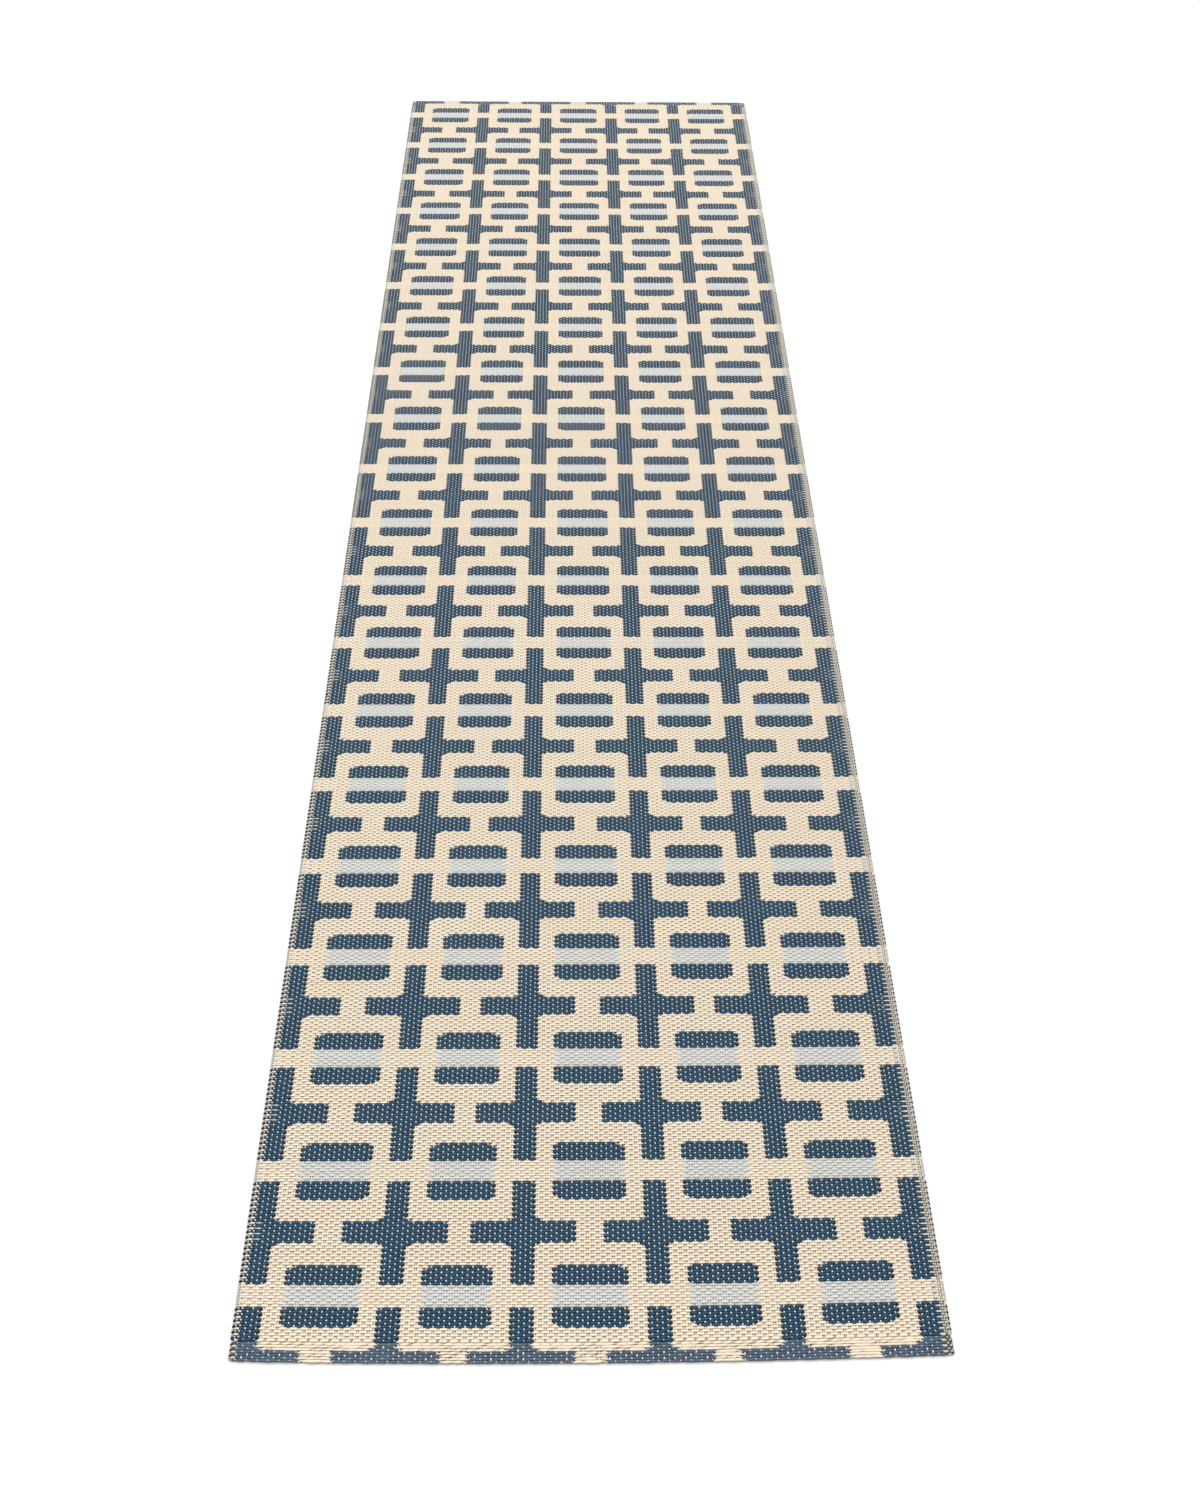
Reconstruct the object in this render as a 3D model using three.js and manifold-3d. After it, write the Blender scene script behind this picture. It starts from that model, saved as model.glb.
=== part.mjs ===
// Woven runner rug: two plastic-ribbon wefts over and under a thin binding warp,
// turned round an edge cord at both sides and heat-pressed flat at both ends.
// Millimetres, +Z up, +Y along the rug, resting on z = 0 with its middle at the origin.
import * as THREE from 'three';
import { mergeGeometries, mergeVertices } from 'three/addons/utils/BufferGeometryUtils.js';
import Module from 'manifold-3d';

const wasm = await Module();
wasm.setup();

// The whole rug and its pattern repeat along it
const rugWidth = 700;
const rugLength = 2700;
const repeatLength = 135;
const plateRows = 20;

// The weave: one warp yarn and one ribbon row
const warpPitch = 5.22;
const warpYarns = 132;
const ribbonPitch = repeatLength / 46;
const warpYarnWidth = 0.8;
const warpTie = 4; // the strip that ties the yarns at each end

// Pattern figures: crosses with four arms, and plates between them
const crossPlaces = [-64, -38, -13, 13, 38, 64]; // warp yarns out from the middle of the rug
const armYarns = 4;
const creamYarns = 4; // between an arm and a plate
const greyRunLength = 8 * ribbonPitch;
const armWidth = armYarns * warpPitch; // the arm that runs along the rug
const armHeight = 8 * ribbonPitch; // the arm that runs across it
const crossReachX = 10 * warpPitch;
const crossReachY = (repeatLength - greyRunLength) / 2;
const crossFillet = 5;
const plateHeight = 22 * ribbonPitch;
const plateCorner = 5.5;

// Layers from the floor up
const clear = 0.3; // air between neighbouring pieces
const weftUnder = 1.7;
const warpLow = weftUnder + clear;
const warpHigh = warpLow + 0.4;
const weftOverLow = warpHigh + clear;
const weftOverHigh = 3.6;
const creamLow = weftOverHigh + clear;
const rugThickness = 4.5;

// Selvedges and end bands
const selvedgeWidth = 5;
const selvedgeWall = 1.5;
const bandLength = 7 * ribbonPitch;
const bandThickness = 3.4;
const creaseCount = 4;
const creaseDepth = 0.6;
const creaseWidth = 1.2;
const turnWall = 1; // where a weft turns back at its side edge

const clothWidth = rugWidth - 2 * (selvedgeWidth + clear);
const clothLength = rugLength - 2 * (bandLength + clear);

const cream = new THREE.MeshStandardMaterial({ color: 0xf1e2c8, roughness: 0.5, metalness: 0 });
const navy = new THREE.MeshStandardMaterial({ color: 0x435a70, roughness: 0.45, metalness: 0 });
const grey = new THREE.MeshStandardMaterial({ color: 0xd8dad6, roughness: 0.5, metalness: 0 });
const yarn = new THREE.MeshStandardMaterial({ color: 0xece8de, roughness: 0.8, metalness: 0 });
const turned = new THREE.MeshStandardMaterial({ color: 0x99a09f, roughness: 0.5, metalness: 0 });
const pressed = new THREE.MeshStandardMaterial({ color: 0x5d6f80, roughness: 0.4, metalness: 0 });

const rug = new THREE.Group();

function addPiece(name, geometry, material) {
  const mesh = new THREE.Mesh(geometry, material);
  mesh.name = name;
  rug.add(mesh);
  return mesh;
}

// A box between two corners
function block(low, high) {
  const size = high.map((value, axis) => value - low[axis]);
  const geometry = new THREE.BoxGeometry(...size);
  geometry.translate(...low.map((value, axis) => value + size[axis] / 2));
  return geometry;
}

function toSolid(geometry) {
  const bare = geometry.clone();
  bare.deleteAttribute('normal');
  bare.deleteAttribute('uv');
  const merged = mergeVertices(bare, 1e-4);
  return new wasm.Manifold(new wasm.Mesh({
    numProp: 3,
    vertProperties: new Float32Array(merged.attributes.position.array),
    triVerts: new Uint32Array(merged.index.array),
  }));
}

function toGeometry(solid) {
  const mesh = solid.getMesh();
  const geometry = new THREE.BufferGeometry();
  geometry.setAttribute('position', new THREE.BufferAttribute(mesh.vertProperties, 3));
  geometry.setIndex(new THREE.BufferAttribute(mesh.triVerts, 1));
  geometry.computeVertexNormals();
  return geometry;
}

function cut(body, tool) {
  return toGeometry(toSolid(body).subtract(toSolid(tool)));
}

// A flat outline raised between two heights, centred on (x, y)
function prism(points, x, y, low, high) {
  const shape = new THREE.Shape(points.map(([px, py]) => new THREE.Vector2(px, py)));
  const geometry = new THREE.ExtrudeGeometry(shape, { depth: high - low, bevelEnabled: false });
  geometry.translate(x, y, low);
  return geometry;
}

// The same corner points in all four quarters, anticlockwise
function fourQuarters(quarter) {
  const back = [...quarter].reverse();
  return [
    ...quarter,
    ...back.map(([x, y]) => [-x, y]),
    ...quarter.map(([x, y]) => [-x, -y]),
    ...back.map(([x, y]) => [x, -y]),
  ];
}

const crossOutline = fourQuarters([
  [crossReachX + clear, armHeight / 2 + clear],
  [armWidth / 2 + crossFillet + clear, armHeight / 2 + clear],
  [armWidth / 2 + clear, armHeight / 2 + crossFillet + clear],
  [armWidth / 2 + clear, crossReachY + clear],
]);

function plateOutline(plateWidth) {
  return fourQuarters([
    [plateWidth / 2, plateHeight / 2 - plateCorner],
    [plateWidth / 2 - plateCorner, plateHeight / 2],
  ]);
}

// Windows in the cream layer, where the second weft comes to the face
const windowLow = creamLow - 1;
const windowHigh = rugThickness + 1;
const windows = [];
for (let row = 0; row <= plateRows; row++) {
  const y = (row - plateRows / 2) * repeatLength;
  for (const [column, cross] of crossPlaces.entries()) {
    windows.push(prism(crossOutline, cross * warpPitch, y, windowLow, windowHigh));
    const nextCross = crossPlaces[column + 1];
    if (row < plateRows && nextCross !== undefined) {
      const plateWidth = (nextCross - cross - armYarns - 2 * creamYarns) * warpPitch;
      const plateX = ((cross + nextCross) / 2) * warpPitch;
      const plateY = y + repeatLength / 2;
      windows.push(prism(plateOutline(plateWidth), plateX, plateY, windowLow, windowHigh));
    }
  }
}
const creamSlab = block(
  [-clothWidth / 2, -clothLength / 2, creamLow],
  [clothWidth / 2, clothLength / 2, rugThickness],
);
addPiece('cream_weft', cut(creamSlab, mergeGeometries(windows)), cream);

// One run of the second weft: it passes under the warp, turns at the side and comes back over it
function weftRun(name, yStart, yEnd, material) {
  const side = clothWidth / 2;
  const body = block([-side, yStart, 0], [side, yEnd, weftOverHigh]);
  const warpSpace = block(
    [turnWall - side, yStart - 1, weftUnder],
    [side - turnWall, yEnd + 1, weftOverLow],
  );
  addPiece(name, cut(body, warpSpace), material);
}

const twoDigits = (number) => String(number).padStart(2, '0');
let runStart = -clothLength / 2;
for (let row = 0; row < plateRows; row++) {
  const middle = (row + 0.5 - plateRows / 2) * repeatLength;
  const greyStart = middle - (greyRunLength - clear) / 2;
  const greyEnd = middle + (greyRunLength - clear) / 2;
  weftRun(`navy_weft_${twoDigits(row + 1)}`, runStart, greyStart - clear, navy);
  weftRun(`grey_weft_${twoDigits(row + 1)}`, greyStart, greyEnd, grey);
  runStart = greyEnd + clear;
}
weftRun(`navy_weft_${twoDigits(plateRows + 1)}`, runStart, clothLength / 2, navy);

// Binding warp: thin yarns side by side between the weft layers, tied across at both ends
const yarnGap = warpPitch - warpYarnWidth;
const warpHalfWidth = ((warpYarns - 1) * warpPitch + warpYarnWidth) / 2;
const warpHalfLength = clothLength / 2 - clear;
const spaces = [];
for (let gap = 0; gap < warpYarns - 1; gap++) {
  const x = -warpHalfWidth + warpYarnWidth + gap * warpPitch;
  spaces.push(block(
    [x, warpTie - warpHalfLength, warpLow - 1],
    [x + yarnGap, warpHalfLength - warpTie, warpHigh + 1],
  ));
}
const warpSheet = block(
  [-warpHalfWidth, -warpHalfLength, warpLow],
  [warpHalfWidth, warpHalfLength, warpHigh],
);
addPiece('warp_yarns', cut(warpSheet, mergeGeometries(spaces)), yarn);

// Side edges: the ribbon turns make a channel round a bundle of edge warp
const sides = [['left', -1], ['right', 1]];
for (const [side, sign] of sides) {
  const outer = rugWidth / 2;
  const inner = outer - selvedgeWidth;
  const spaceLow = selvedgeWall;
  const spaceHigh = rugThickness - selvedgeWall;
  const channel = new THREE.Shape([
    [inner, 0], [outer - 1, 0], [outer, 1.2], [outer, rugThickness - 1.2],
    [outer - 1, rugThickness], [inner, rugThickness], [inner, spaceHigh],
    [outer - selvedgeWall, spaceHigh], [outer - selvedgeWall, spaceLow], [inner, spaceLow],
  ].map(([x, z]) => new THREE.Vector2(sign * x, z)));
  const length = new THREE.ExtrudeGeometry(channel, { depth: clothLength, bevelEnabled: false });
  length.rotateX(Math.PI / 2);
  length.translate(0, clothLength / 2, 0);
  addPiece(`${side}_selvedge`, length, turned);

  const cordInner = inner + clear;
  const cordOuter = outer - selvedgeWall - clear;
  const cord = block(
    [Math.min(sign * cordInner, sign * cordOuter), -clothLength / 2, spaceLow + clear],
    [Math.max(sign * cordInner, sign * cordOuter), clothLength / 2, spaceHigh - clear],
  );
  addPiece(`${side}_edge_warp`, cord, yarn);
}

// End bands: every layer fused into one thinner strip, with creases pressed across the top
const ends = [['near', -1], ['far', 1]];
for (const [end, sign] of ends) {
  const innerY = rugLength / 2 - bandLength;
  const outerY = rugLength / 2;
  const bands = block(
    [-rugWidth / 2, Math.min(sign * innerY, sign * outerY), 0],
    [rugWidth / 2, Math.max(sign * innerY, sign * outerY), bandThickness],
  );
  const creases = [];
  for (let crease = 0; crease < creaseCount; crease++) {
    const y = sign * (innerY + (crease + 0.7) * (bandLength / (creaseCount + 0.4)));
    creases.push(block(
      [-rugWidth / 2 - 1, y - creaseWidth / 2, bandThickness - creaseDepth],
      [rugWidth / 2 + 1, y + creaseWidth / 2, bandThickness + 1],
    ));
  }
  addPiece(`${end}_end_band`, cut(bands, mergeGeometries(creases)), pressed);
}

export default rug;
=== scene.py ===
import math
import random

import bpy
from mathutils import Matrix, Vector


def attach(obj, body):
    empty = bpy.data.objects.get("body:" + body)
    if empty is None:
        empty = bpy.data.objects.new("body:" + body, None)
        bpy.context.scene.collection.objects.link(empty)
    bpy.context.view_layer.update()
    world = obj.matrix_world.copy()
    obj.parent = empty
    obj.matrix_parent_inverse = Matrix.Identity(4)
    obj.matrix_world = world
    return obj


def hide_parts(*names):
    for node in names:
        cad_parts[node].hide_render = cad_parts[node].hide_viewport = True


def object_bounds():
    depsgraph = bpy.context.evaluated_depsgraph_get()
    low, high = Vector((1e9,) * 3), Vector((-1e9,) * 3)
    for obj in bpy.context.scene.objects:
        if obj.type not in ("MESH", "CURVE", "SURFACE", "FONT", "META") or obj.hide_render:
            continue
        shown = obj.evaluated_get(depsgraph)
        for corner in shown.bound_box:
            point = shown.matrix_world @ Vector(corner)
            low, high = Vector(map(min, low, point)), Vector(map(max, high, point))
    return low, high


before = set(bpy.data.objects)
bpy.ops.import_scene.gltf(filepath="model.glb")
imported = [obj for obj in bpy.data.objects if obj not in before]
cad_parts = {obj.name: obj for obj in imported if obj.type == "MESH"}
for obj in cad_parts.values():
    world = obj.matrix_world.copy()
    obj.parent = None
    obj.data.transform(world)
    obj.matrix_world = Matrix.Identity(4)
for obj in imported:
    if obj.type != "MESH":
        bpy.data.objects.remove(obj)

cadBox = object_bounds()
mm = 0.001
halfRugWidth = cadBox[1][0] / mm
halfRugLength = cadBox[1][1] / mm


# Camera: standing behind the near end, looking along the rug and down at it.
camera = {
    "place": (-0.0200, -2.0032, 1.5315),
    "turn": (43.70, -0.67, -0.80),
    "lens": 38.9,
    "sensor": 36,
}
cameraData = bpy.data.cameras.new("camera")
cameraData.lens = camera["lens"]
cameraData.sensor_width = camera["sensor"]
cameraObject = bpy.data.objects.new("camera", cameraData)
cameraObject.location = camera["place"]
cameraObject.rotation_euler = [math.radians(angle) for angle in camera["turn"]]
bpy.context.collection.objects.link(cameraObject)
bpy.context.scene.camera = cameraObject
bpy.context.scene.view_settings.view_transform = "Standard"
print("camera placed")


def toLinear(hexColour):
    parts = [int(hexColour[i:i + 2], 16) / 255 for i in (1, 3, 5)]
    return [p / 12.92 if p <= 0.04045 else ((p + 0.055) / 1.055) ** 2.4 for p in parts] + [1]


# Adds one node, sets its own settings and its inputs; an input that is a socket is linked.
def addNode(tree, kind, settings=None, **inputs):
    node = tree.nodes.new(kind)
    for name, value in (settings or {}).items():
        setattr(node, name, value)
    for name, value in inputs.items():
        key = int(name[5:]) if name.startswith("input") else name.replace("_", " ")
        socket = node.inputs[key]
        if isinstance(value, bpy.types.NodeSocket):
            tree.links.new(value, socket)
        else:
            socket.default_value = value
    return node


# Ribbon plastic: soft PVC tape, extruded and slit, so it has fine lines along it and a dull gloss.
# Lengths are in mm. The lines keep their real size, so they only show close up.
# the lower of the two sheens is painted shade: the deep parts of the weave are given less sheen
# than the crowns
tape = {"lineSpacing": 0.5, "lineLength": 40, "lineDepth": 0.2, "lineStrength": 0.35,
        "patchSize": 111, "duller": 0.08, "shinier": 0.06, "shadedSheen": 0.1, "unshadedSheen": 0.4,
        "ior": 1.53}


def ribbonMaterial(look):
    material = bpy.data.materials.new(look["name"])
    material.use_nodes = True
    tree = material.node_tree
    tree.nodes.clear()
    place = addNode(tree, "ShaderNodeTexCoord").outputs["Object"]
    along, across = 1 / (tape["lineLength"] * mm), 1 / (tape["lineSpacing"] * mm)
    lines = addNode(tree, "ShaderNodeMapping", Vector=place, Scale=(along, across, across))
    streak = addNode(tree, "ShaderNodeTexNoise", Vector=lines.outputs[0], Scale=1.0, Detail=2.0)
    patchScale = 1 / (tape["patchSize"] * mm)
    patch = addNode(tree, "ShaderNodeTexNoise", Vector=place, Scale=patchScale, Detail=3.0)
    tone = addNode(tree, "ShaderNodeAttribute", {"attribute_name": "tone"})
    base = addNode(tree, "ShaderNodeMix", {"data_type": "RGBA"}, Factor=tone.outputs["Fac"])
    base.inputs[6].default_value = toLinear(look["darker"])
    base.inputs[7].default_value = toLinear(look["paler"])
    lined = addNode(tree, "ShaderNodeMix", {"data_type": "RGBA"}, Factor=streak.outputs[0])
    tree.links.new(base.outputs[2], lined.inputs[6])
    lined.inputs[7].default_value = toLinear(look["colour"])
    # painted shade: what lies deep in the weave is coloured darker and given less sheen, as if in
    # shadow, and the crowns keep their full colour and sheen
    height = addNode(tree, "ShaderNodeSeparateXYZ", Vector=place)
    outOfShade = addNode(tree, "ShaderNodeMapRange", Value=height.outputs[2])
    outOfShade.inputs["From Min"].default_value = look["shadeHeights"][0] * mm
    outOfShade.inputs["From Max"].default_value = look["shadeHeights"][1] * mm
    shadedColour = addNode(tree, "ShaderNodeMix", {"data_type": "RGBA"}, Factor=outOfShade.outputs[0])
    shadedColour.inputs[6].default_value = toLinear(look["paintedDeepShade"])
    tree.links.new(lined.outputs[2], shadedColour.inputs[7])
    sheen = addNode(tree, "ShaderNodeMapRange", Value=outOfShade.outputs[0])
    sheen.inputs["To Min"].default_value = tape["shadedSheen"]
    sheen.inputs["To Max"].default_value = tape["unshadedSheen"]
    # some patches are duller than others
    gloss = addNode(tree, "ShaderNodeMapRange", Value=patch.outputs[0])
    gloss.inputs["From Min"].default_value = 0.3
    gloss.inputs["From Max"].default_value = 0.7
    gloss.inputs["To Min"].default_value = look["roughness"] - tape["shinier"]
    gloss.inputs["To Max"].default_value = look["roughness"] + tape["duller"]
    # the tape is flat on top and only rolls over at its two edges
    surface = addNode(tree, "ShaderNodeNewGeometry")
    rolled = addNode(tree, "ShaderNodeMix", {"data_type": "VECTOR"}, Factor=look["flatness"])
    tree.links.new(surface.outputs["Normal"], rolled.inputs[4])
    tree.links.new(surface.outputs["True Normal"], rolled.inputs[5])
    ridges = addNode(tree, "ShaderNodeBump", Height=streak.outputs[0],
                     Strength=tape["lineStrength"], Distance=tape["lineDepth"] * mm,
                     Normal=rolled.outputs[1])
    shader = addNode(tree, "ShaderNodeBsdfPrincipled", IOR=tape["ior"],
                     Roughness=gloss.outputs[0], Normal=ridges.outputs[0])
    tree.links.new(sheen.outputs[0], shader.inputs["Specular IOR Level"])
    tree.links.new(shadedColour.outputs[2], shader.inputs["Base Color"])
    addNode(tree, "ShaderNodeOutputMaterial", Surface=shader.outputs[0])
    return material


# Warp yarn: spun polyester, twisted, so it has no gloss and small shadows round its twist.
# The twist keeps its real size too, in mm, and only shows close up.
yarn = {"name": "polyesterWarpYarn", "colour": "#fffcf4", "shade": "#f1ece0",
        "twistSpacing": 1.6, "twistSlant": 0.9, "twistDepth": 0.1, "twistStrength": 0.4,
        "roughness": 0.85, "ior": 1.5}
waveLength = 2 * math.pi / 20  # of a wave texture at scale 1


def yarnMaterial(look):
    material = bpy.data.materials.new(look["name"])
    material.use_nodes = True
    tree = material.node_tree
    tree.nodes.clear()
    place = addNode(tree, "ShaderNodeTexCoord").outputs["Object"]
    slanted = addNode(tree, "ShaderNodeMapping", Vector=place, Rotation=(0, 0, look["twistSlant"]))
    twistScale = waveLength / (look["twistSpacing"] * mm)
    twist = addNode(tree, "ShaderNodeTexWave", Vector=slanted.outputs[0], Scale=twistScale,
                    Distortion=1.0)
    mixed = addNode(tree, "ShaderNodeMix", {"data_type": "RGBA"}, Factor=twist.outputs["Fac"])
    mixed.inputs[6].default_value = toLinear(look["shade"])
    mixed.inputs[7].default_value = toLinear(look["colour"])
    fuzz = addNode(tree, "ShaderNodeBump", Height=twist.outputs["Fac"],
                   Strength=look["twistStrength"], Distance=look["twistDepth"] * mm)
    shader = addNode(tree, "ShaderNodeBsdfPrincipled", Roughness=look["roughness"],
                     IOR=look["ior"], Normal=fuzz.outputs[0])
    tree.links.new(mixed.outputs[2], shader.inputs["Base Color"])
    addNode(tree, "ShaderNodeOutputMaterial", Surface=shader.outputs[0])
    return material


# each ribbon look ends with painted shade: a darker colour that its low parts are darkened to,
# between the two heights given last
creamRibbon = ribbonMaterial({"name": "creamPvcRibbon", "colour": "#ffedd2", "paler": "#fff0d8",
                              "darker": "#fce6ca", "paintedDeepShade": "#b3a48d", "shadeHeights": (1.9, 3.6),
                              "roughness": 0.45, "flatness": 0.9})
navyRibbon = ribbonMaterial({"name": "navyPvcRibbon", "colour": "#2c5876", "paler": "#386789",
                             "darker": "#224a64", "paintedDeepShade": "#06161f", "shadeHeights": (2.3, 4.2),
                             "roughness": 0.34, "flatness": 0.0})
greyRibbon = ribbonMaterial({"name": "paleGreyPvcRibbon", "colour": "#e1e3e0", "paler": "#e8e9e6",
                             "darker": "#d8dad7", "paintedDeepShade": "#a3a9ab", "shadeHeights": (1.9, 3.6),
                             "roughness": 0.45, "flatness": 0.85})
# the ends have been pressed hot, so their ribbons are flatter and shinier
pressedNavy = ribbonMaterial({"name": "pressedNavyPvc", "colour": "#4b6176", "paler": "#54697e",
                              "darker": "#41586c", "paintedDeepShade": "#2c4459", "shadeHeights": (1.8, 3.0),
                              "roughness": 0.34, "flatness": 1.0})
pressedCream = ribbonMaterial({"name": "pressedCreamPvc", "colour": "#f9e8ce", "paler": "#fbedd4",
                               "darker": "#f5e3ca", "paintedDeepShade": "#c4b59d", "shadeHeights": (1.8, 3.0),
                               "roughness": 0.36, "flatness": 1.0})
warpYarn = yarnMaterial(yarn)
print("materials made")


# The weave, in mm: columns are warp yarns, counted from the middle; rows are ribbons.
weave = {
    "columns": 132,
    "columnPitch": 5.2,
    "rows": 920,
    "rowsPerRepeat": 46,
    "rowPitch": 135 / 46,
    "bandRows": 7,
}
figures = {
    "crossPlaces": (-64, -38, -13, 13, 38, 64),
    "armColumns": 4,
    "armRows": 8,
    "crossColumns": 20,
    "creamColumns": 4,
    "greyRows": 8,
    "plateRows": 22,
}
# Ribbon shape at each kind of station: middle height, half width and half thickness, in mm.
# The navy ribbon is folded to a ridge, so it lies as fat beads; the cream and the grey lie flat.
# sideStep keeps the two wefts apart along the rug where they pass each other, edgeStep (of a
# column) draws a change of sides toward the held column, and neckPull draws a held place nearer.
ridgedShapes = {
    "faceBulge": (3.1, 2.0, 1.15),
    "faceNeck": (2.95, 1.2, 0.6),
    "crossing": (2.75, 1.05, 0.6),
    "edgeUp": (3.2, 1.5, 0.7),
    "edgeDown": (1.1, 0.6, 0.5),
    "turn": (2.2, 1.3, 1.0),
    "sideStep": 0.75,
    "edgeStep": 0.4,
    "neckPull": 0.0,
}
flatShapes = dict(ridgedShapes, faceBulge=(3.6, 1.68, 0.6), shoulder=(3.6, 1.6, 0.6),
                  faceNeck=(2.4, 0.35, 0.4), crossing=(1.75, 0.9, 0.5),
                  greyCrossing=(2.6, 1.25, 0.5), neckPull=0.4)
pressedShapes = {
    "faceBulge": (2.85, 1.7, 0.5),
    "faceNeck": (2.77, 1.4, 0.5),
    "crossing": (2.3, 1.3, 0.4),
    "edgeUp": (2.5, 1.2, 0.5),
    "edgeDown": (1.0, 0.8, 0.4),
    "turn": (1.7, 1.0, 0.7),
    "sideStep": 0.3,
    "edgeStep": 0.2,
    "neckPull": 0.0,
}
slackNeck = 1.9  # a neck's width is this less its pull
shoulderStep = 0.42  # of a column, from a held column to where the flat ribbon is full again

# How unevenly the loom lays the ribbons and yarns
looseness = {"tone": 0.3, "toneWithin": 0.15, "spread": 0.03, "wobble": 0.12, "pull": 0.5,
             "yarn": 0.15}


def fromNearest(value, repeat):
    return (value + repeat / 2) % repeat - repeat / 2


# Where the second weft comes to the face, at the middle of a column and the middle of a row.
def secondShows(column, row):
    repeatRows = weave["rowsPerRepeat"]
    places = figures["crossPlaces"]
    across = min(abs(column - place) for place in places)
    along = abs(fromNearest(row, repeatRows))
    halfArm = figures["armColumns"] / 2
    halfArmRows = figures["armRows"] / 2
    if along < (repeatRows - figures["greyRows"]) / 2 and across < halfArm:
        return True
    if along < halfArmRows and across < figures["crossColumns"] / 2:
        return True
    if along < halfArmRows + 1 and across < halfArm + 1:  # filled inner corner
        return True
    before = [place for place in places if place < column]
    after = [place for place in places if place > column]
    if not before or not after:
        return False
    plateColumns = after[0] - before[-1] - figures["armColumns"] - 2 * figures["creamColumns"]
    plateAcross = abs(column - (before[-1] + after[0]) / 2)
    plateAlong = abs(fromNearest(row - repeatRows / 2, repeatRows))
    cornerCut = 1 if plateAlong > figures["plateRows"] / 2 - 1 else 0
    return plateAlong < figures["plateRows"] / 2 and plateAcross < plateColumns / 2 - cornerCut


def isGreyRow(row):
    repeatRows = weave["rowsPerRepeat"]
    return abs(fromNearest(row + 0.5 - repeatRows / 2, repeatRows)) < figures["greyRows"] / 2


# How the cloth lies, in mm: the weave sits a little to the left of the middle, the near end bows
# out, and the rows are beaten up more and less tightly in slow waves along it.
lie = {
    "sideShift": -1.5,
    "endBow": 5.0, "bowFade": 160,
    "waveHeight": 6.0, "waveLength": 1600, "waveStart": 300, "waveFade": 2400, "waveRise": 120,
}


def laid(x, y):
    fromEnd = y + halfRugLength
    bow = lie["endBow"] * (1 - (x / halfRugWidth) ** 2) * math.exp(-fromEnd / lie["bowFade"])
    wave = math.sin(2 * math.pi * (fromEnd - lie["waveStart"]) / lie["waveLength"])
    wave *= math.exp(-fromEnd / lie["waveFade"]) * (1 - math.exp(-fromEnd / lie["waveRise"]))
    return x + lie["sideShift"], y - bow + lie["waveHeight"] * wave


def station(x, y, shape, tone, spread=1.0):
    height, halfWidth, halfThickness = shape
    x, y = laid(x, y)
    return (x, y, height, halfWidth * spread, halfThickness, tone)


def rowPlace(row):
    return (row + 0.5) * weave["rowPitch"]


# One ribbon row from left to right. On the face it is held down by the warp at every second
# column; between two columns where the pattern changes it goes to the back, and runs there.
def rowStations(row, isSecond, shapes, chance):
    y = rowPlace(row)
    pitch = weave["columnPitch"]
    sideStep = shapes["sideStep"] if isSecond else -shapes["sideStep"]
    edgeStep = shapes["edgeStep"] * pitch  # a change of sides is drawn toward the held column
    # grey and cream change sides higher up, with no dark gap between them
    crossing = shapes.get("greyCrossing" if isGreyRow(row) else "crossing", shapes["crossing"])
    tone = chance.uniform(0.5 - looseness["tone"], 0.5 + looseness["tone"])
    spread = chance.uniform(1 - looseness["spread"], 1 + looseness["spread"])
    spread *= rowSpread(row, isSecond)
    half = weave["columns"] // 2
    up = [secondShows(c + 0.5, row + 0.5) == isSecond for c in range(-half, half)]
    stations = []
    for index, isUp in enumerate(up):
        column = index - half
        x = (column + 0.5) * pitch
        held = (column + row) % 2 == 0
        changed = index > 0 and up[index - 1] != isUp
        changesNext = index + 1 < len(up) and up[index + 1] != isUp
        wobble = chance.uniform(-looseness["wobble"], looseness["wobble"])
        shade = tone + chance.uniform(-looseness["toneWithin"], looseness["toneWithin"])
        if changed:
            changeX = x - pitch / 2 + (edgeStep if held else -edgeStep)
            stations.append(station(changeX, y + sideStep, crossing, tone))
        if isUp and not held:
            if "shoulder" not in shapes or changed or changesNext:
                stations.append(station(x, y + wobble, shapes["faceBulge"], shade, spread))
        elif isUp:
            # some held places are pulled tighter than others
            pull = chance.uniform(1 - looseness["pull"], 1 + looseness["pull"])
            neckY = y + wobble - shapes["neckPull"] * pull
            neck = station(x, neckY, shapes["faceNeck"], shade, spread * (slackNeck - pull))
            around = [neck]
            if "shoulder" in shapes:
                step = shoulderStep * pitch
                before = station(x - step, y, shapes["shoulder"], shade, spread)
                after = station(x + step, y, shapes["shoulder"], shade, spread)
                around = [before] * (not changed) + [neck] + [after] * (not changesNext)
            stations += around
    leftEdge = selvedge(row, isSecond, shapes, -1, tone)[::-1]
    rightEdge = selvedge(row, isSecond, shapes, 1, tone)
    return leftEdge + stations + rightEdge


# A grey row beside a fuller navy one is squeezed, and the rows where the pressing starts are wider.
spreads = {"squeezed": 0.75, "widened": 1.2}


def rowSpread(row, isSecond):
    nextRows = (row - 1, row + 1)
    if isSecond and isGreyRow(row) and not all(isGreyRow(other) for other in nextRows):
        return spreads["squeezed"]
    lastWoven = weave["rows"] // 2 - weave["bandRows"]
    if lastWoven - 1 < abs(row + 0.5) < lastWoven + 1:
        return spreads["widened"]
    return 1.0


# Beyond the last column each row passes over and under thin edge yarns, so both colours speckle.
edge = {"yarnSpacing": 2.2, "firstYarn": 1.2, "turnInset": 1.1, "turnRun": 1.0,
        "rowStep": 0.3, "turnStart": 0.15}


def edgeYarnPlaces(side):
    start = weave["columns"] / 2 * weave["columnPitch"]
    room = halfRugWidth - side * lie["sideShift"] - start - 2 * edge["turnInset"]
    count = int((room - edge["firstYarn"]) / edge["yarnSpacing"]) + 1
    return [side * (start + edge["firstYarn"] + i * edge["yarnSpacing"]) for i in range(count)]


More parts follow.
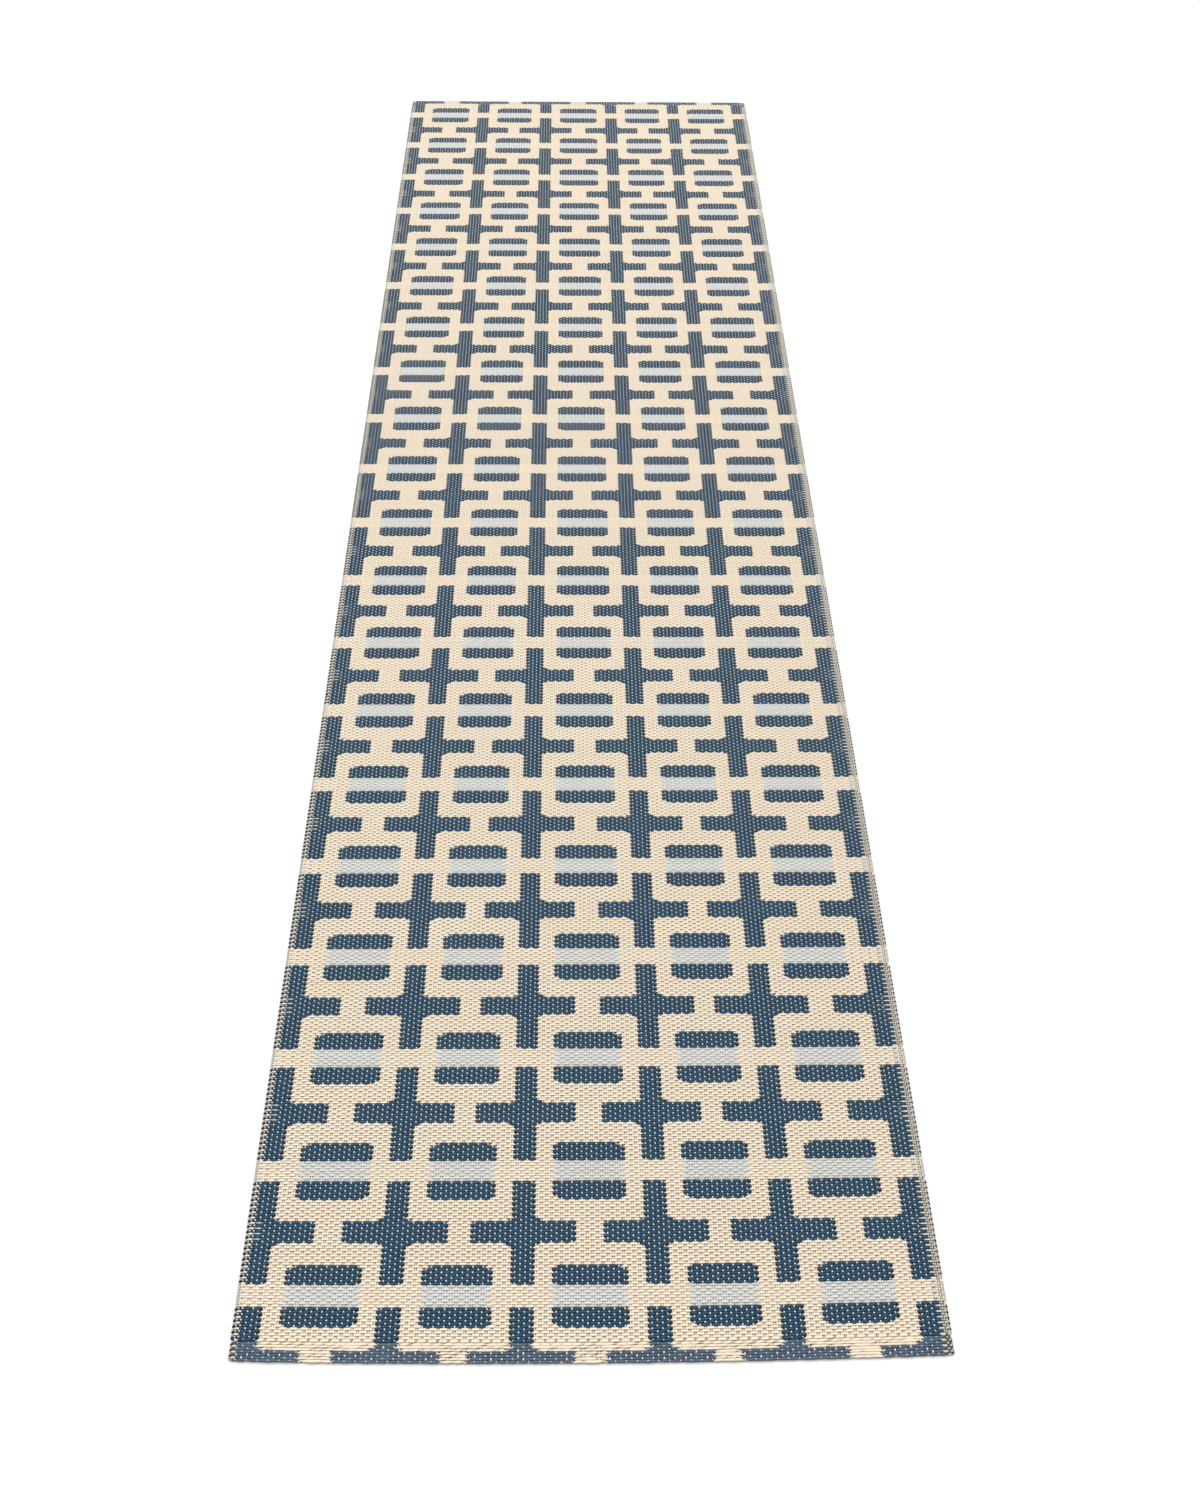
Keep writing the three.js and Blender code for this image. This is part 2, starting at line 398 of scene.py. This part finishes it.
def selvedge(row, isSecond, shapes, side, tone):
    stations = []
    y = rowPlace(row) + (edge["rowStep"] if isSecond else -edge["rowStep"])
    for index, x in enumerate(edgeYarnPlaces(side)):
        isUp = ((index + row) % 2 == 0) == isSecond
        shape = shapes["edgeUp"] if isUp else shapes["edgeDown"]
        stations.append(station(x, y, shape, tone))
    return stations


# The ribbon runs to and fro: rows joined by a turn at the side where one ends and the next starts.
def weftPath(rows, isSecond, shapes, chance):
    path = []
    start = edge["turnStart"]
    turn = ((edge["turnRun"], start), (0.0, 0.5), (edge["turnRun"], 1 - start))
    for index, row in enumerate(rows):
        goesRight = (row % 2 == 0) == isSecond
        stations = rowStations(row, isSecond, shapes, chance)
        path += stations if goesRight else stations[::-1]
        if index + 1 < len(rows):
            side = 1 if goesRight else -1
            outermost = side * (halfRugWidth - edge["turnInset"]) - lie["sideShift"]
            pitch = weave["rowPitch"]
            for inset, rise in turn:
                x, y = outermost - side * inset, rowPlace(row) + rise * pitch
                path.append(station(x, y, shapes["turn"], stations[0][5]))
    return path


# A warp yarn goes over the face ribbon in one row and under the back ribbon in the next.
yarnShape = {"over": 4.15, "under": 0.3, "halfWidth": 0.75, "halfThickness": 0.3}
pressedYarnShape = {"over": 3.4, "under": 0.3, "halfWidth": 0.75, "halfThickness": 0.25}


def yarnPath(x, rows, phase, shape, chance):
    path = []
    for row in rows:
        over = (row + phase) % 2 == 0
        z = shape["over"] if over else shape["under"]
        sway = chance.uniform(-looseness["yarn"], looseness["yarn"])
        px, py = laid(x + sway, rowPlace(row))
        path.append((px, py, z, shape["halfWidth"], shape["halfThickness"], 0.5))
    return path


# Sweeps a three-sided section along paths, with its width and thickness from the stations.
sectionSides = 3


def sweepTree():
    tree = bpy.data.node_groups.new("sweptRibbon", "GeometryNodeTree")
    sockets = tree.interface
    sockets.new_socket("Paths", in_out="INPUT", socket_type="NodeSocketGeometry")
    sides = sockets.new_socket("Section sides", in_out="INPUT", socket_type="NodeSocketInt")
    sides.default_value = sectionSides
    sockets.new_socket("Section turn", in_out="INPUT", socket_type="NodeSocketFloat")
    sockets.new_socket("Ribbon material", in_out="INPUT", socket_type="NodeSocketMaterial")
    sockets.new_socket("Ribbon", in_out="OUTPUT", socket_type="NodeSocketGeometry")
    start = addNode(tree, "NodeGroupInput")
    here = addNode(tree, "GeometryNodeInputPosition")
    marked = addNode(tree, "GeometryNodeStoreNamedAttribute", {"data_type": "FLOAT_VECTOR"},
                     Geometry=start.outputs["Paths"], Name="middle", Value=here.outputs[0])
    curve = addNode(tree, "GeometryNodeMeshToCurve", Mesh=marked.outputs[0])
    upright = addNode(tree, "GeometryNodeSetCurveNormal", {"mode": "Z_UP"},
                      Curve=curve.outputs[0])
    circle = addNode(tree, "GeometryNodeCurvePrimitiveCircle",
                     Resolution=start.outputs["Section sides"], Radius=1.0)
    turned = addNode(tree, "ShaderNodeCombineXYZ", Z=start.outputs["Section turn"])
    section = addNode(tree, "GeometryNodeTransform", Geometry=circle.outputs[0],
                      Rotation=turned.outputs[0])
    swept = addNode(tree, "GeometryNodeCurveToMesh", Curve=upright.outputs[0],
                    Profile_Curve=section.outputs[0], Fill_Caps=True)
    middle = addNode(tree, "GeometryNodeInputNamedAttribute", {"data_type": "FLOAT_VECTOR"},
                     Name="middle")
    halfWidth = addNode(tree, "GeometryNodeInputNamedAttribute", {"data_type": "FLOAT"},
                        Name="halfWidth")
    halfThickness = addNode(tree, "GeometryNodeInputNamedAttribute", {"data_type": "FLOAT"},
                            Name="halfThickness")
    sizes = addNode(tree, "ShaderNodeCombineXYZ", X=halfWidth.outputs[0],
                    Y=halfWidth.outputs[0], Z=halfThickness.outputs[0])
    outward = addNode(tree, "ShaderNodeVectorMath", {"operation": "SUBTRACT"},
                      input0=here.outputs[0], input1=middle.outputs[0])
    sized = addNode(tree, "ShaderNodeVectorMath", {"operation": "MULTIPLY"},
                    input0=outward.outputs[0], input1=sizes.outputs[0])
    placed = addNode(tree, "ShaderNodeVectorMath", {"operation": "ADD"},
                     input0=middle.outputs[0], input1=sized.outputs[0])
    shaped = addNode(tree, "GeometryNodeSetPosition", Geometry=swept.outputs[0],
                     Position=placed.outputs[0])
    smooth = addNode(tree, "GeometryNodeSetShadeSmooth", Geometry=shaped.outputs[0])
    bare = smooth
    for name in ("middle", "halfWidth", "halfThickness"):
        bare = addNode(tree, "GeometryNodeRemoveAttribute", Geometry=bare.outputs[0], Name=name)
    whole = addNode(tree, "GeometryNodeRealizeInstances", Geometry=bare.outputs[0])
    dressed = addNode(tree, "GeometryNodeSetMaterial", Geometry=whole.outputs[0],
                      Material=start.outputs["Ribbon material"])
    addNode(tree, "NodeGroupOutput", Ribbon=dressed.outputs[0])
    return tree


sweep = sweepTree()
socketIds = {item.name: item.identifier for item in sweep.interface.items_tree
             if item.in_out == "INPUT"}
ridgeUp = math.pi / 2  # how the section is turned
flatUp = -math.pi / 2
sectionSpan = 1 / math.cos(math.pi / 6)  # a three-sided section reaches less wide than its circle


# Turns paths into one finished piece.
def sweepPiece(name, paths, sectionTurn, material, nodes):
    points = [s for path in paths for s in path]
    edges, first = [], 0
    for path in paths:
        edges += [(i, i + 1) for i in range(first, first + len(path) - 1)]
        first += len(path)
    mesh = bpy.data.meshes.new(name)
    mesh.from_pydata([(p[0] * mm, p[1] * mm, p[2] * mm) for p in points], edges, [])
    for attribute, index, scale in (("halfWidth", 3, sectionSpan * mm), ("halfThickness", 4, mm),
                                    ("tone", 5, 1)):
        made = mesh.attributes.new(attribute, "FLOAT", "POINT")
        made.data.foreach_set("value", [p[index] * scale for p in points])
    piece = bpy.data.objects.new(name, mesh)
    bpy.context.collection.objects.link(piece)
    modifier = piece.modifiers.new("sweep", "NODES")
    modifier.node_group = sweep
    modifier[socketIds["Section sides"]] = sectionSides
    modifier[socketIds["Section turn"]] = sectionTurn
    modifier[socketIds["Ribbon material"]] = material
    graph = bpy.context.evaluated_depsgraph_get()
    finished = bpy.data.meshes.new_from_object(piece.evaluated_get(graph))
    piece.modifiers.remove(modifier)
    piece.data = finished
    bpy.data.meshes.remove(mesh)
    finished.name = name
    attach(piece, "root")
    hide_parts(*nodes)
    return piece


halfRows = weave["rows"] // 2
wovenRows = list(range(weave["bandRows"] - halfRows, halfRows - weave["bandRows"]))
seeds = {"cream": 7000, "warp": 9000, "edgeWarp": 9500}  # other pieces are seeded by their rows
pieces = []


# Lengths of the second weft: a new one starts wherever the colour changes.
def colourRuns(rows):
    runs = []
    for row in rows:
        if not runs or isGreyRow(runs[-1][-1]) != isGreyRow(row):
            runs.append([])
        runs[-1].append(row)
    return runs


navyCount = greyCount = 0
for run in colourRuns(wovenRows):
    chance = random.Random(run[0])
    if isGreyRow(run[0]):
        greyCount += 1
        label = f"grey_weft_{greyCount:02d}"
        look, slot, sectionTurn, shapes = greyRibbon, "grey_ribbon", flatUp, flatShapes
    else:
        navyCount += 1
        label = f"navy_weft_{navyCount:02d}"
        look, slot, sectionTurn, shapes = navyRibbon, "navy_ribbon", ridgeUp, ridgedShapes
    path = weftPath(run, True, shapes, chance)
    pieces.append(sweepPiece("ribbon_" + label, [path], sectionTurn, look, [label]))
print("second weft woven:", navyCount, "navy runs,", greyCount, "grey runs")

creamPieces = []
creamLengths = 6
share = math.ceil(len(wovenRows) / creamLengths)
for index in range(creamLengths):
    rows = wovenRows[index * share:(index + 1) * share]
    path = weftPath(rows, False, flatShapes, random.Random(seeds["cream"] + index))
    name = f"ribbon_cream_weft_{index + 1:02d}"
    nodes = ["cream_weft", "left_selvedge", "right_selvedge"]
    piece = sweepPiece(name, [path], flatUp, creamRibbon, nodes)
    creamPieces.append((piece, rows))
print("cream weft woven")

yarnGroups = 5
columns = list(range(-weave["columns"] // 2, weave["columns"] // 2))
perGroup = math.ceil(len(columns) / yarnGroups)
for group in range(yarnGroups):
    chance = random.Random(seeds["warp"] + group)
    paths = []
    for column in columns[group * perGroup:(group + 1) * perGroup]:
        x = (column + 0.5) * weave["columnPitch"]
        paths.append(yarnPath(x, wovenRows, column, yarnShape, chance))
    name = f"yarns_warp_{group + 1:02d}"
    pieces.append(sweepPiece(name, paths, ridgeUp, warpYarn, ["warp_yarns"]))
for side, label in ((-1, "left"), (1, "right")):
    chance = random.Random(seeds["edgeWarp"] + side)
    paths = [yarnPath(x, wovenRows, phase, yarnShape, chance)
             for phase, x in enumerate(edgeYarnPlaces(side))]
    nodes = [f"{label}_edge_warp"]
    pieces.append(sweepPiece(f"yarns_{label}_edge", paths, ridgeUp, warpYarn, nodes))
print("warp laid in")

# The last rows at each end, with the warp ends in them, pressed flat while hot
for end, rows in (("near", range(-halfRows, wovenRows[0])),
                  ("far", range(wovenRows[-1] + 1, halfRows))):
    nodes = [f"{end}_end_band"]
    for isSecond, colour, look in ((True, "navy", pressedNavy), (False, "cream", pressedCream)):
        path = weftPath(list(rows), isSecond, pressedShapes, random.Random(rows[0] + isSecond))
        name = f"pressed_{colour}_{end}"
        pieces.append(sweepPiece(name, [path], flatUp, look, nodes))
    chance = random.Random(rows[-1])
    paths = [yarnPath((column + 0.5) * weave["columnPitch"], rows, column, pressedYarnShape, chance)
             for column in columns]
    name = f"pressed_yarns_{end}"
    pieces.append(sweepPiece(name, paths, ridgeUp, warpYarn, nodes))
print("ends pressed")

# Plain pale floor, metres from its middle to its edges
ground = {"reach": 12, "colour": "#f8f8f8", "roughness": 0.9, "specular": 0.1}
floorMesh = bpy.data.meshes.new("floor")
reach = ground["reach"]
floorMesh.from_pydata([(-reach, -reach, 0), (reach, -reach, 0), (reach, reach, 0),
                       (-reach, reach, 0)], [], [(0, 1, 2, 3)])
floor = bpy.data.objects.new("floor", floorMesh)
bpy.context.collection.objects.link(floor)
floorLook = bpy.data.materials.new("matWhiteFloor")
floorLook.use_nodes = True
floorShader = floorLook.node_tree.nodes["Principled BSDF"]
floorShader.inputs["Base Color"].default_value = toLinear(ground["colour"])
floorShader.inputs["Roughness"].default_value = ground["roughness"]
floorShader.inputs["Specular IOR Level"].default_value = ground["specular"]
floorMesh.materials.append(floorLook)

# Soft studio light: a pale room, brighter toward its ceiling, and two large soft boxes
room = {"walls": 0.5, "ceiling": 0.93}
softBoxes = [
    {"name": "overhead", "place": (-0.2, -0.2, 3.6), "target": (0, 0, 0), "size": (3.0, 4.6),
     "power": 76},
    {"name": "farSide", "place": (0.3, 3.6, 2.2), "target": (0, 0.3, 0), "size": (3.0, 1.6),
     "power": 6},
]
world = bpy.data.worlds.new("room")
world.use_nodes = True
background = world.node_tree.nodes["Background"]
background.inputs["Color"].default_value = (1, 1, 1, 1)
lookWay = addNode(world.node_tree, "ShaderNodeTexCoord").outputs["Generated"]
upness = addNode(world.node_tree, "ShaderNodeSeparateXYZ", Vector=lookWay)
glow = addNode(world.node_tree, "ShaderNodeMapRange", Value=upness.outputs[2])
glow.inputs["To Min"].default_value = room["walls"]
glow.inputs["To Max"].default_value = room["ceiling"]
world.node_tree.links.new(glow.outputs[0], background.inputs["Strength"])
bpy.context.scene.world = world


def softBox(box):
    light = bpy.data.lights.new(box["name"], "AREA")
    light.shape = "RECTANGLE"
    light.size, light.size_y = box["size"]
    light.energy = box["power"]
    lamp = bpy.data.objects.new(box["name"], light)
    lamp.location = box["place"]
    facing = Vector(box["target"]) - Vector(box["place"])
    lamp.rotation_euler = facing.to_track_quat("-Z", "Y").to_euler()
    bpy.context.collection.objects.link(lamp)


for box in softBoxes:
    softBox(box)
print("floor and light set")

triangles = 0
for piece in pieces + [piece for piece, rows in creamPieces]:
    piece.data.calc_loop_triangles()
    triangles += len(piece.data.loop_triangles)
print("triangles", triangles)
